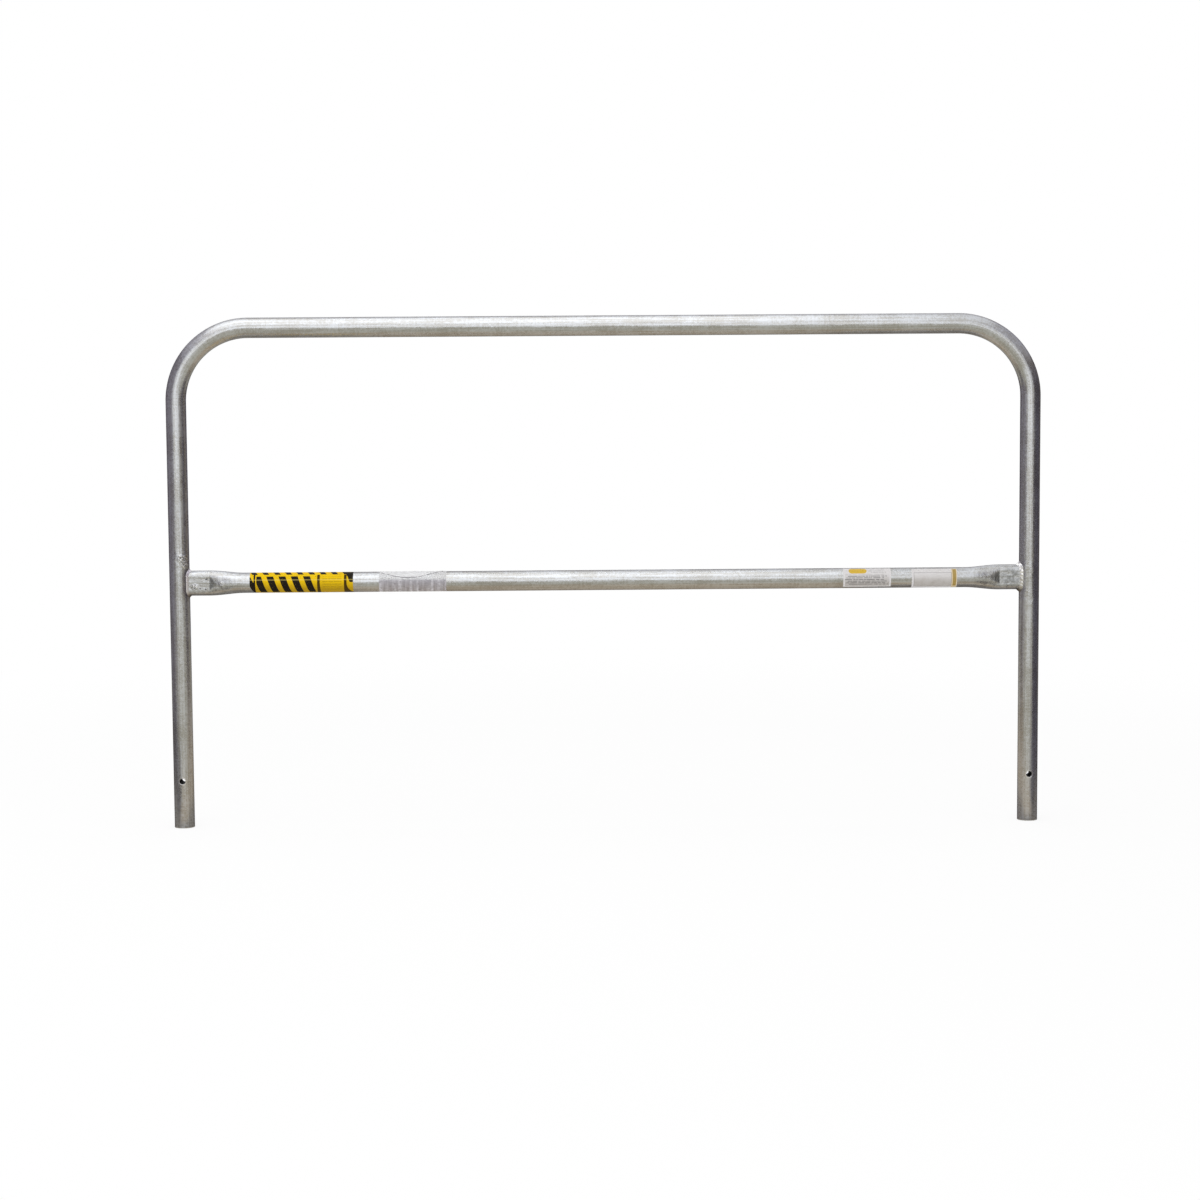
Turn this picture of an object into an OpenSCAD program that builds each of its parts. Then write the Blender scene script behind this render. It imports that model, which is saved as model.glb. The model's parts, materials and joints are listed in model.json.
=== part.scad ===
// Guardrail section of galvanised tube, for a floor edge or a platform.
// One tube is bent into a U for the two legs and the top rail, and a second tube, pressed flat and coped
// at its ends, is welded between the legs as the mid rail. A cross hole near each foot takes a pin.
// The section stands in the XZ plane with its front to -Y. The origin is midway between the two feet.

/* [Frame tube] */
// Width over the outsides of the two legs
section_w = 1829; // [1500:1:3000]
// Height from the feet to the top of the top rail
section_h = 1070; // [950:1:1300]
// Outside diameter of the frame tube and of the mid rail
tube_od = 42.2; // [33.4:0.1:48.3]
// Wall of both tubes
tube_wall = 2.8; // [2:0.1:4]
// Radius of the two top bends, to the tube's centreline
bend_r = 152.4; // [100:0.1:220]

/* [Pin holes] */
// Diameter of the cross hole in each leg
pin_hole_d = 12.7; // [8:0.1:18]
// Height of the cross holes above the feet
pin_hole_z = 100; // [50:1:200]

/* [Mid rail] */
// Height of the mid rail's centreline above the feet
rail_z = 517; // [400:1:620]
// Thickness that each end of the mid rail is pressed to
press_t = 24; // [18:0.5:30]
// Length of the pressed flat, from the leg's inner side
press_len = 43; // [25:1:60]
// Length over which the pressed end swells back to the round tube
swell_len = 73; // [50:1:110]
// Length of the flat facet that narrows to a point on the swelling stretch
facet_len = 27; // [15:1:45]

/* [Welds] */
// Leg of the left weld, on the flat front and back of the rail end
left_weld_leg = 3.2; // [2:0.1:6]
// Leg of the left weld, at the rounded top and bottom of the rail end
left_weld_corner = 4.5; // [2:0.1:8]
// Leg of the right weld, on the flat front and back of the rail end
right_weld_leg = 4.6; // [2:0.1:6]
// Leg of the right weld, at the rounded top and bottom of the rail end
right_weld_corner = 7.6; // [2:0.1:10]
// Height of the weld ripples, as a share of the leg
ripple_share = 0.16; // [0:0.01:0.3]
// Length of one weld ripple
ripple_len = 8.4; // [6:0.1:14]

/* [Labels] */
// Thickness of the label stock
label_t = 0.15; // [0.1:0.01:0.4]
// Length of the black and yellow wrap label, along the rail
stripe_len = 216; // [100:1:260]
// Distance from the left swelling stretch to the wrap label
stripe_gap = 12; // [2:1:40]
// Angle that the wrap label covers round the rail
stripe_wrap = 340; // [180:1:355]
// Length of the clear film label
film_len = 141; // [60:1:180]
// Distance from the wrap label to the clear film label
film_gap = 54; // [10:1:80]
// Angle that the clear film label covers
film_wrap = 168; // [90:1:200]
// Length of the ruled label
ruled_len = 100; // [60:1:140]
// Angle that the ruled label covers
ruled_wrap = 127; // [60:1:170]
// Length of the plate label
plate_len = 95; // [60:1:140]
// Angle that the plate label covers
plate_wrap = 134; // [60:1:170]
// Distance from the right swelling stretch to the plate label
plate_gap = 18; // [2:1:40]
// Distance from the ruled label to the plate label
ruled_gap = 44; // [10:1:80]

/* [Hidden] */
$fn = 96;

// How far a cut reaches past the face that it opens
past = 5;
// How far a weld reaches into its tubes before they are cut away from it
weld_root = 0.8;
// Sides of the pressed ends, and steps along the swelling stretch
press_sides = 40;
swell_steps = 10;
// How much wider the pressed ends stop than the round tube that they join
seam = 0.04;
// Rings of the weld for each ripple
ripple_rings = 4;
// Angles above the front to the middle of each label, where the front is 0 and the top is 90
stripe_turn = 45;
film_turn = 6;
ruled_turn = 9;
plate_turn = -5;

tube_r = tube_od / 2;
bore_r = tube_r - tube_wall;
leg_x = section_w / 2 - tube_r;
leg_len = section_h - tube_r - bend_r;
top_len = 2 * (leg_x - bend_r);

// The press keeps the tube's girth, so what it takes in thickness it gives back in height
press_h = press_t + PI * (tube_od - press_t) / 2;
press_flat = press_h - press_t;
press_arc = PI * press_t / 2;
girth = 2 * (press_flat + press_arc);

// Distances from a leg's axis to the crease of the pressed end and to the round tube
crease_x = tube_r + press_len;
round_x = crease_x + swell_len;
rail_end = leg_x - round_x;

ripples = round(girth / ripple_len);
weld_rings = ripples * ripple_rings;

// Crown of a weld from the rail to the leg, as shares of its leg along each of them
bead = [[0.9, 0.34], [0.64, 0.64], [0.34, 0.9]];

function smooth(s) = s * s * (3 - 2 * s);

// Section of the rail, t thick and h high, with flat sides of the given height between its round ends.
// Its sides touch the true outline, so that its corners lie a little outside.
function press_section(t, h, flat) =
    [for (i = [0 : press_sides - 1])
        let (
            a = (i + 0.5) * 360 / press_sides,
            out = 1 / cos(180 / press_sides),
            end = a < 180 ? 1 : -1
        )
        [out * t / 2 * cos(a), out * (h - flat) / 2 * sin(a) + end * flat / 2]];

// Sizes of that section at a share s of the swelling stretch: thickness, height and flat
function swell_t(s) = press_t + (tube_od + seam - press_t) * sin(90 * s);
function swell_h(s) = press_h - (press_h - tube_od - seam) * smooth(s);
function swell_flat(s) = press_flat * max(0, 1 - s * swell_len / facet_len);

function press_ring(x, inset, s) =
    [for (p = press_section(swell_t(s) - 2 * inset, swell_h(s) - 2 * inset, swell_flat(s)))
        [x, p[0], p[1]]];

// Rings of a pressed end, from the leg's axis to the round tube
function press_rings(inset) = concat(
    [press_ring(0, inset, 0)],
    [for (k = [0 : swell_steps])
        press_ring(crease_x + swell_len * k / swell_steps, inset, k / swell_steps)]);

// Place and outward direction at a distance d round the pressed end
function press_edge(d) =
    d < press_flat ? [press_t / 2, d - press_flat / 2, 0]
    : d < press_flat + press_arc ?
        let (a = 180 * (d - press_flat) / press_arc)
        [press_t / 2 * cos(a), press_flat / 2 + press_t / 2 * sin(a), a]
    : d < girth - press_arc ?
        [-press_t / 2, 1.5 * press_flat + press_arc - d, 180]
    : let (a = 180 + 180 * (d - girth + press_arc) / press_arc)
        [press_t / 2 * cos(a), -press_flat / 2 + press_t / 2 * sin(a), a];

// One ring of a weld: its crown from the rail to the leg, then its root, sunk into both
function weld_ring(d, leg, corner) =
    let (
        edge = press_edge(d),
        side = cos(edge[2]),
        up = sin(edge[2]),
        swell = 1 - ripple_share * (1 - abs(sin(180 * d * ripples / girth))),
        size = swell * (leg + (corner - leg) * up * up),
        seat = asin(edge[0] / tube_r),
        toe = seat + size * side / tube_r * 180 / PI,
        toe_z = edge[1] + size * up,
        joint = [tube_r * cos(seat), edge[0], edge[1]],
        along = [size, 0, 0],
        out = [tube_r * cos(toe), tube_r * sin(toe), toe_z] - joint,
        root = [0, side, up] * weld_root,
        deep = tube_r - weld_root
    )
    concat(
        [for (b = bead) joint + along * b[0] + out * b[1]],
        [[deep * cos(toe), deep * sin(toe), toe_z],
         joint - root - [weld_root, 0, 0],
         joint - root + along]);

// A closed skin over rings that all have as many points
module skin(rings, looped) {
    count = len(rings);
    points = len(rings[0]);
    walls = [for (k = [0 : count - (looped ? 1 : 2)], i = [0 : points - 1])
        let (next = (k + 1) % count, j = (i + 1) % points)
        [k * points + i, next * points + i, next * points + j, k * points + j]];
    first = [for (i = [0 : points - 1]) i];
    last = [for (i = [points - 1 : -1 : 0]) (count - 1) * points + i];
    polyhedron([for (ring = rings) each ring], looped ? walls : concat(walls, [first, last]), 4);
}

// Places its children at the left leg and, turned about, at the right leg
module at_leg(side) {
    mirror([side > 0 ? 1 : 0, 0, 0])
        translate([-leg_x, 0, 0])
            children();
}

// The whole bent tube as a solid rod of radius r, with legs that reach past the feet
module bent_rod(r, below) {
    for (side = [-1, 1]) {
        translate([side * leg_x, 0, -below])
            cylinder(r = r, h = leg_len + below);
        at_leg(side)
            translate([bend_r, 0, leg_len])
                rotate([90, 0, 0])
                    rotate([0, 0, 90])
                        rotate_extrude(angle = 90)
                            translate([bend_r, 0])
                                circle(r = r);
    }
    translate([-top_len / 2, 0, section_h - tube_r])
        rotate([0, 90, 0])
            cylinder(r = r, h = top_len);
}

// The mid rail as a solid, set in by a wall for its bore
module rail_rod(inset) {
    translate([-rail_end, 0, rail_z])
        rotate([0, 90, 0])
            cylinder(r = tube_r - inset, h = 2 * rail_end);
    for (side = [-1, 1])
        at_leg(side)
            translate([0, 0, rail_z])
                skin(press_rings(inset), false);
}

// The leg's outside near the mid rail, which copes the rail's ends and the welds
module leg_cope(side) {
    at_leg(side)
        translate([0, 0, rail_z - press_h])
            cylinder(r = tube_r, h = 2 * press_h);
}

module frame_tube() {
    color([0.62, 0.62, 0.6])
        difference() {
            bent_rod(tube_r, 0);
            bent_rod(bore_r, past);
            for (side = [-1, 1])
                translate([side * leg_x, tube_r + past, pin_hole_z])
                    rotate([90, 0, 0])
                        cylinder(d = pin_hole_d, h = tube_od + 2 * past);
        }
}

module mid_rail() {
    color([0.66, 0.67, 0.66])
        difference() {
            rail_rod(0);
            rail_rod(tube_wall);
            for (side = [-1, 1])
                leg_cope(side);
        }
}

module weld(side, leg, corner) {
    color([0.78, 0.79, 0.8])
        difference() {
            at_leg(side)
                translate([0, 0, rail_z])
                    skin([for (k = [0 : weld_rings - 1])
                        weld_ring(girth * k / weld_rings, leg, corner)], true);
            leg_cope(side);
            at_leg(side)
                translate([0, 0, rail_z])
                    skin(press_rings(0), false);
        }
}

// A label bent round the rail, from x along the rail, with its middle turned up from the front
module label(x, length, wrap, turn) {
    translate([x, 0, rail_z])
        rotate([0, 90, 0])
            rotate([0, 0, -90 - turn - wrap / 2])
                rotate_extrude(angle = wrap)
                    translate([tube_r, 0])
                        square([label_t, length]);
}

module stripe_label() {
    color([0.95, 0.78, 0.08])
        label(-rail_end + stripe_gap, stripe_len, stripe_wrap, stripe_turn);
}

module film_label() {
    color([0.85, 0.85, 0.86, 0.6])
        label(-rail_end + stripe_gap + stripe_len + film_gap, film_len, film_wrap, film_turn);
}

module plate_label() {
    color([0.93, 0.92, 0.92])
        label(rail_end - plate_gap - plate_len, plate_len, plate_wrap, plate_turn);
}

module ruled_label() {
    color([0.93, 0.92, 0.92])
        label(rail_end - plate_gap - plate_len - ruled_gap - ruled_len, ruled_len, ruled_wrap, ruled_turn);
}

frame_tube();
mid_rail();
weld(-1, left_weld_leg, left_weld_corner);  // weld_left
weld(1, right_weld_leg, right_weld_corner);  // weld_right
stripe_label();
film_label();
ruled_label();
plate_label();
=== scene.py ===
# %% [markdown]
# # A galvanised guardrail section
# The imported CAD model is the frame of this scene. It has every piece at its real size and place, in
# metres, with +Z up and the front to -Y. Nothing in it is moved. Its tubes, welds and labels are coarse
# meshes, so each is rebuilt here with many more points, on the same dimensions, and given a finish.

# %% Load the frame
import json
import math

import bmesh
import bpy
import numpy as np
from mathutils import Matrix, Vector


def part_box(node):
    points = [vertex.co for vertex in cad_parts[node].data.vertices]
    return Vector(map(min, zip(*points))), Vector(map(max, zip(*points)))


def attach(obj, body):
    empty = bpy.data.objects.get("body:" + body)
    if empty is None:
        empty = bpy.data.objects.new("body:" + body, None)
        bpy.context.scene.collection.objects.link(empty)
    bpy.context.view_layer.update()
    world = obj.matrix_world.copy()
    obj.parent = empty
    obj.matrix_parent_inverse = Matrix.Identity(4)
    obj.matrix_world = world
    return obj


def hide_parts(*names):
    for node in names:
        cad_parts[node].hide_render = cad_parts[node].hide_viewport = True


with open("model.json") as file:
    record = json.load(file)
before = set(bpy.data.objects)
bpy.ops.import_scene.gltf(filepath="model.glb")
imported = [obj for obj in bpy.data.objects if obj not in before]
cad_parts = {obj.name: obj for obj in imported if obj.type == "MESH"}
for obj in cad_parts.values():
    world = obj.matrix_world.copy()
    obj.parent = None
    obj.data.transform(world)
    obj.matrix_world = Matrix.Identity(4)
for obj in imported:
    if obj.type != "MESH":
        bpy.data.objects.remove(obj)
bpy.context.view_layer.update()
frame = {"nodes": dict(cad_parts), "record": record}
MM = 0.001
print("CAD nodes:", sorted(frame["nodes"]))

# %% [markdown]
# ## The camera
# The camera comes before anything else, because every later choice is seen through it. The photograph
# was taken from nearly 5 m in front, a little above the mid rail and turned a hair off level. A long lens
# from far away keeps the two legs nearly parallel, as they are in the picture.

# %% Place the camera
# Millimetres and degrees
CAMERA_PLACE = (-74.7, -4971.3, 892.0)
CAMERA_TURN = (85.203, 0.392, -0.762)
CAMERA_LENS = 71.1
SENSOR = 36.0

camera_data = bpy.data.cameras.new("photo_camera")
camera_data.lens = CAMERA_LENS
camera_data.sensor_width = SENSOR
camera = bpy.data.objects.new("photo_camera", camera_data)
camera.location = Vector(CAMERA_PLACE) * MM
camera.rotation_euler = [math.radians(angle) for angle in CAMERA_TURN]
bpy.context.scene.collection.objects.link(camera)
bpy.context.scene.camera = camera
print("camera at", tuple(round(value, 3) for value in camera.location))

# %% [markdown]
# ## Sizes
# Most sizes can be read from the frame: the overall box, and the mounts that the record states. The rest
# are the dimensions that only the maker's drawing holds, such as the wall and the length of the pressed
# ends.

# %% Read and name the sizes
mounts = {mount["name"]: mount for mount in frame["record"]["mounts"]}
tube_low, tube_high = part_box("frame_tube")
rail_low, rail_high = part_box("mid_rail")

tube_r = mounts["left_leg"]["dims"]["r_mm"] * MM
pin_r = mounts["left_pin_hole"]["dims"]["r_mm"] * MM
pin_z = mounts["left_pin_hole"]["pos_m"][2]
section_w = tube_high.x - tube_low.x
section_h = tube_high.z
rail_z = (rail_low.z + rail_high.z) / 2
tube_wall = 2.8 * MM
bore_r = tube_r - tube_wall
bend_r = 152.4 * MM
leg_x = section_w / 2 - tube_r
leg_len = section_h - tube_r - bend_r

press_t = 24 * MM
press_len = 43 * MM
swell_len = 73 * MM
facet_len = 27 * MM
press_h = press_t + math.pi * (2 * tube_r - press_t) / 2
press_flat = press_h - press_t
crease_x = tube_r + press_len
round_x = crease_x + swell_len
print("section", round(section_w, 3), "x", round(section_h, 3), "m, tube radius", tube_r)

# %% [markdown]
# ## A builder for skins
# Every piece of this object is a skin over rows of points: rings along a tube, beads along a weld, or a
# strip bent round a rail. One small class keeps the points and joins one row to the next with quads. With
# each point it also keeps the place that the point would have if the tube were straight. The finishes
# read that place, so their grain runs round the tube and follows it through the bends without a seam.

# %% The skin builder
class Skin:
    """Rows of points joined by quads, with each point's place on the straightened tube."""

    def __init__(self):
        self.points = []
        self.straight = []
        self.faces = []

    def row(self, points, straight):
        first = len(self.points)
        self.points.extend(tuple(point) for point in points)
        self.straight.extend(tuple(place) for place in straight)
        return list(range(first, len(self.points)))

    def bridge(self, row, other, looped=True, gaps=()):
        """Quads from one row to the next, but for the columns named in gaps."""
        count = len(row)
        for i in range(count if looped else count - 1):
            if i not in gaps:
                j = (i + 1) % count
                self.faces.append((row[i], row[j], other[j], other[i]))

    def bridge_all(self, rows, looped=True):
        for row, other in zip(rows, rows[1:]):
            self.bridge(row, other, looped)


SHARP = math.radians(38)


def make_piece(name, skin, node):
    """Turns a skin into a piece that stands for a CAD node."""
    mesh = bpy.data.meshes.new(name)
    mesh.from_pydata(skin.points, [], skin.faces)
    work = bmesh.new()
    work.from_mesh(mesh)
    bmesh.ops.recalc_face_normals(work, faces=work.faces)
    open_edges = sum(not edge.is_manifold for edge in work.edges)
    work.to_mesh(mesh)
    work.free()
    straight = mesh.attributes.new("straight", "FLOAT_VECTOR", "POINT")
    straight.data.foreach_set("vector", np.array(skin.straight, np.float32).ravel())
    mesh.shade_smooth()
    mesh.set_sharp_from_angle(angle=SHARP)
    piece = bpy.data.objects.new(name, mesh)
    bpy.context.scene.collection.objects.link(piece)
    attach(piece, "root")
    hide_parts(node)
    print(name, len(skin.points), "points,", len(skin.faces), "faces,", open_edges, "open edges")
    return piece


# %% [markdown]
# ## The frame tube
# The real frame is one length of tube, bent twice in a machine. In Blender it could be a curve with a
# round bevel, but a curve can't have the pin holes or the lumps of zinc. So we walk along the centreline
# ourselves and put a ring of points at each stop. The helper below gives, for a length along the tube,
# the middle of the ring and the direction that points out of the U. The right half is the mirror image of
# the left half.

# %% The centreline
BEND_LEN = math.pi / 2 * bend_r
HALF_LEN = leg_len + BEND_LEN + leg_x - bend_r
TUBE_LEN = 2 * HALF_LEN
SIDES = 96
# Angles of the points of a ring, from the front towards the outside of the U
TURNS = [2 * math.pi * i / SIDES for i in range(SIDES)]


def tube_station(along):
    """Middle of the tube and the outward direction, at a length along it from the left foot."""
    s = min(along, TUBE_LEN - along)
    if s < leg_len:
        middle, outward = (-leg_x, s), (-1.0, 0.0)
    elif s < leg_len + BEND_LEN:
        turn = (s - leg_len) / bend_r
        middle = (bend_r - leg_x - bend_r * math.cos(turn), leg_len + bend_r * math.sin(turn))
        outward = (-math.cos(turn), math.sin(turn))
    else:
        middle, outward = (s - HALF_LEN, section_h - tube_r), (0.0, 1.0)
    flip = 1 if along <= HALF_LEN else -1
    return (flip * middle[0], middle[1]), (flip * outward[0], outward[1])


def tube_point(along, radius, angle):
    """A point of the tube, at an angle from the front towards the outside of the U."""
    middle, outward = tube_station(along)
    reach = radius * math.sin(angle)
    return middle[0] + reach * outward[0], -radius * math.cos(angle), middle[1] + reach * outward[1]


def tube_place(along, radius, angle):
    return along, -radius * math.cos(angle), radius * math.sin(angle)


def tube_row(skin, spots):
    """A row of points of the tube, each given as a length along it, a radius and an angle."""
    return skin.row([tube_point(*spot) for spot in spots], [tube_place(*spot) for spot in spots])


print("tube length", round(TUBE_LEN, 3), "m")

# %% [markdown]
# ## Lumps of zinc
# Hot-dip zinc leaves a few frozen drips, and the welder leaves spatter. The photograph shows a patch of
# them on the left leg, just above the mid rail. Each lump is a soft hill: a height, a width and a place.
# Because they change the outline, they are real geometry and not bump.

# %% The lumps
# Height along the leg, angle from the front towards the rail, width and height of each lump
SPATTER = [
    (0.5750, 13, 2.2, 1.0), (0.5732, 24, 1.7, 0.9), (0.5700, 33, 2.0, 1.1), (0.5660, 20, 1.7, 0.8),
    (0.5645, 42, 1.8, 1.0), (0.5615, 31, 2.0, 0.9), (0.5590, 50, 1.7, 0.7), (0.5750, 44, 1.8, 0.9),
    (0.5550, 40, 1.8, 0.6), (0.5680, 7, 1.6, 0.6), (0.5715, 54, 1.8, 0.8), (0.5500, 46, 1.6, 0.5),
]


def soft_hill(across, up, width, height):
    """Height of a hill at a distance from its top, across and up."""
    apart = math.hypot(across, up) / (width * MM)
    return height * MM * math.exp(-apart * apart)


def spatter_height(along, angle):
    rise = 0.0
    for z, turn, width, height in SPATTER:
        rise += soft_hill(along - z, tube_r * (angle + math.radians(turn)), width, height)
    return rise


print("spatter lumps:", len(SPATTER))

# %% [markdown]
# ## Rings along the frame tube
# A straight stretch needs few rings. The bends need many, so that their outline is round, and so does the
# stretch with the lumps. Each pin hole sits in a patch of its own: the rings beside it are close
# together, and the square of cells over the hole is left open. Loops of points then lead from the
# square's edge to the circle of the hole, in the outer and the inner wall, and a short bore joins the two
# circles.

# %% Where the rings go
PATCH_CELLS = 16
HALF_CELLS = PATCH_CELLS // 2
PATCH_HALF = 10.5 * MM
RING_GAP = 40 * MM
BEND_GAP = 5 * MM
LUMP_GAP = 1.0 * MM
LUMP_FROM, LUMP_TO = 0.541, 0.591
FOOT_CHAMFER = 0.4 * MM


def spaced(start, end, gap):
    """Evenly spaced lengths from start up to, and without, end."""
    steps = max(1, math.ceil((end - start) / gap))
    return [start + (end - start) * i / steps for i in range(steps)]


patch_gap = 2 * PATCH_HALF / PATCH_CELLS
half_rings = (
    spaced(FOOT_CHAMFER, pin_z - PATCH_HALF, RING_GAP)
    + [pin_z - PATCH_HALF + patch_gap * i for i in range(PATCH_CELLS)]
    + spaced(pin_z + PATCH_HALF, LUMP_FROM, RING_GAP)
    + spaced(LUMP_FROM, LUMP_TO, LUMP_GAP)
    + spaced(LUMP_TO, leg_len, RING_GAP)
    + spaced(leg_len, leg_len + BEND_LEN, BEND_GAP)
    + spaced(leg_len + BEND_LEN, HALF_LEN, RING_GAP)
)
rings = half_rings + [HALF_LEN] + [TUBE_LEN - s for s in reversed(half_rings)]
first_patch = half_rings.index(pin_z - PATCH_HALF)
patch_starts = [first_patch, len(rings) - 1 - first_patch - PATCH_CELLS]
print("rings:", len(rings))

# %% The walls, with an opening for each pin hole
def wall_reach(along, radius, angle, lumpy):
    """Distance of a wall from the tube's centreline. The lumps are on the outer wall only."""
    if not lumpy:
        return radius
    return radius + spatter_height(along, angle - 2 * math.pi * (angle > math.pi))


def tube_wall_rows(skin, radius, lumpy):
    rows = []
    for along in rings:
        rows.append(skin.row(
            [tube_point(along, wall_reach(along, radius, a, lumpy), a) for a in TURNS],
            [tube_place(along, radius, a) for a in TURNS],
        ))
    front = [(i - HALF_CELLS) % SIDES for i in range(PATCH_CELLS)]
    back = [(i + SIDES // 2) % SIDES for i in front]
    for k, (row, other) in enumerate(zip(rows, rows[1:])):
        pierced = any(start <= k < start + PATCH_CELLS for start in patch_starts)
        skin.bridge(row, other, gaps=front + back if pierced else ())
    return rows


print("cells left open over a pin hole:", PATCH_CELLS ** 2)

# %% The pin holes
HOLE_LOOPS = 4
RIM = 0.4 * MM
cell_angle = 2 * math.pi / SIDES


def square_border():
    """Steps along and round the tube, from a hole's middle, to each point of its square's border."""
    side = range(PATCH_CELLS)
    steps = [(-HALF_CELLS, i - HALF_CELLS) for i in side]
    steps += [(i - HALF_CELLS, HALF_CELLS) for i in side]
    steps += [(HALF_CELLS, HALF_CELLS - i) for i in side]
    steps += [(HALF_CELLS - i, -HALF_CELLS) for i in side]
    return steps


border = square_border()
border_places = [(row * patch_gap, column * cell_angle) for row, column in border]
border_turns = [math.atan2(along, angle * tube_r) for along, angle in border_places]


def hole_wall(skin, rows, start, middle_column, radius, rim):
    """Closes a wall round a pin hole and returns the loop at the hole."""
    centre = rings[start] + PATCH_HALF
    facing = middle_column * cell_angle
    middle_row = start + HALF_CELLS
    loop = [rows[middle_row + row][(middle_column + column) % SIDES] for row, column in border]
    for step in range(1, HOLE_LOOPS + 1):
        share = step / HOLE_LOOPS
        spots = []
        for (along, angle), turn in zip(border_places, border_turns):
            hole_along = (pin_r + rim) * math.sin(turn)
            hole_angle = math.asin((pin_r + rim) * math.cos(turn) / radius)
            spots.append((
                centre + along + (hole_along - along) * share,
                radius,
                facing + angle + (hole_angle - angle) * share,
            ))
        inner = tube_row(skin, spots)
        skin.bridge(loop, inner)
        loop = inner
    return loop


def hole_bore(skin, start, middle_column, outer_loop, inner_loop):
    """The bore through the wall, with a slightly broken outer edge."""
    centre = rings[start] + PATCH_HALF
    facing = middle_column * cell_angle
    loop = outer_loop
    for depth in (RIM, tube_wall / 2):
        spots = []
        for turn in border_turns:
            across = pin_r * math.cos(turn)
            deep = math.hypot(math.sqrt(tube_r ** 2 - across ** 2) - depth, across)
            spots.append((centre + pin_r * math.sin(turn), deep, facing + math.asin(across / deep)))
        ring = tube_row(skin, spots)
        skin.bridge(loop, ring)
        loop = ring
    skin.bridge(loop, inner_loop)


print("points round a pin hole:", len(border))

# %% Put the frame tube together
def frame_tube_skin():
    skin = Skin()
    outer = tube_wall_rows(skin, tube_r, lumpy=True)
    inner = tube_wall_rows(skin, bore_r, lumpy=False)
    for start in patch_starts:
        for column in (0, SIDES // 2):
            outer_loop = hole_wall(skin, outer, start, column, tube_r, RIM)
            inner_loop = hole_wall(skin, inner, start, column, bore_r, 0.0)
            hole_bore(skin, start, column, outer_loop, inner_loop)
    for end, along in ((0, 0.0), (-1, TUBE_LEN)):
        loop = outer[end]
        for radius in (tube_r - FOOT_CHAMFER, bore_r + FOOT_CHAMFER):
            ring = tube_row(skin, [(along, radius, a) for a in TURNS])
            skin.bridge(loop, ring)
            loop = ring
        skin.bridge(loop, inner[end])
    return skin


frame_tube = make_piece("galvanised_frame", frame_tube_skin(), "frame_tube")

# %% [markdown]
# ## The mid rail
# A press flattens each end of the second tube, so its section changes from a circle to two flats with
# round ends. The press doesn't stretch the metal, so the girth stays the same. We loft between sections:
# each one is drawn as a quarter outline, cut into equal lengths of girth, and mirrored. Equal lengths
# keep the quads even where the shape changes. Both ends then stop on the curved side of a leg, which a
# fitter calls a cope.

# %% Sections of the mid rail
QUARTER = SIDES // 4
FINE = 240


def smooth(s):
    return s * s * (3 - 2 * s)


def section_size(from_leg):
    """Thickness, height and flat of the section, at a distance from the leg's axis."""
    s = min(max((from_leg - crease_x) / swell_len, 0.0), 1.0)
    thick = press_t + (2 * tube_r - press_t) * math.sin(math.pi / 2 * s)
    high = press_h - (press_h - 2 * tube_r) * smooth(s)
    flat = press_flat * max(0.0, 1 - s * swell_len / facet_len)
    return thick, high, flat


def section_outline(from_leg, inset):
    """Points round the section as (y, z), from the middle of the front and up."""
    thick, high, flat = section_size(from_leg)
    half_t = thick / 2 - inset
    half_round = (high - flat) / 2 - inset
    turn = np.linspace(0, math.pi / 2, FINE)
    y = np.concatenate([[half_t], half_t * np.cos(turn)])
    z = np.concatenate([[0.0], flat / 2 + half_round * np.sin(turn)])
    length = np.concatenate([[0.0], np.cumsum(np.hypot(np.diff(y), np.diff(z)))])
    cuts = np.linspace(0, length[-1], QUARTER + 1)
    y, z = np.interp(cuts, length, y), np.interp(cuts, length, z)
    front = list(zip(-y, z))
    back = list(zip(y, z))
    upper = front[:-1] + back[:0:-1]
    lower = [(y, -z) for y, z in back[:-1] + front[:0:-1]]
    return upper + lower


girth = 2 * press_flat + math.pi * press_t
print("the press changes the girth by", round(girth - 2 * math.pi * tube_r, 6), "m")

# %% [markdown]
# ## Runs on the pressed end
# The left end has a wavy run of zinc over its crease, and a fainter one on its flat. They use the same
# soft hills as the lumps on the leg.

# %% The runs
# Place along X, height, width and rise of each mark on the front of the left pressed end
PRESS_MARKS = [
    (-0.8215, 0.5215, 1.8, 0.5), (-0.8180, 0.5180, 1.8, 0.6), (-0.8140, 0.5155, 1.6, 0.6),
    (-0.8095, 0.5140, 1.6, 0.6), (-0.8050, 0.5125, 1.7, 0.6), (-0.8015, 0.5095, 1.8, 0.5),
    (-0.8640, 0.5130, 2.4, 0.3), (-0.8590, 0.5095, 2.2, 0.35), (-0.8540, 0.5080, 2.2, 0.3),
]


def mark_height(x, y, z):
    if y > 0:
        return 0.0
    rise = 0.0
    for mark_x, mark_z, width, height in PRESS_MARKS:
        rise += soft_hill(x - mark_x, z - mark_z, width, height)
    return rise


print("marks on the pressed end:", len(PRESS_MARKS))

# %% Loft the mid rail
PRESS_GAP = 1.5 * MM
SWELL_GAP = 2.0 * MM
CREASE_HALF = 0.5 * MM
COPE_CLEAR = 1.0 * MM

end_stations = (
    spaced(tube_r + COPE_CLEAR, crease_x - CREASE_HALF, PRESS_GAP)
    + spaced(crease_x - CREASE_HALF, round_x, SWELL_GAP)
)
rail_stations = (
    [s - leg_x for s in end_stations]
    + spaced(round_x - leg_x, leg_x - round_x, RING_GAP)
    + [leg_x - round_x]
    + [leg_x - s for s in reversed(end_stations)]
)


def rail_row(skin, x, inset):
    outline = section_outline(leg_x - abs(x), inset)
    points = []
    for y, z in outline:
        rise = 0.0 if inset else mark_height(x, y, rail_z + z)
        points.append((x, y - rise, rail_z + z))
    return skin.row(points, [tube_place(x, tube_r, a) for a in TURNS])


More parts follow.
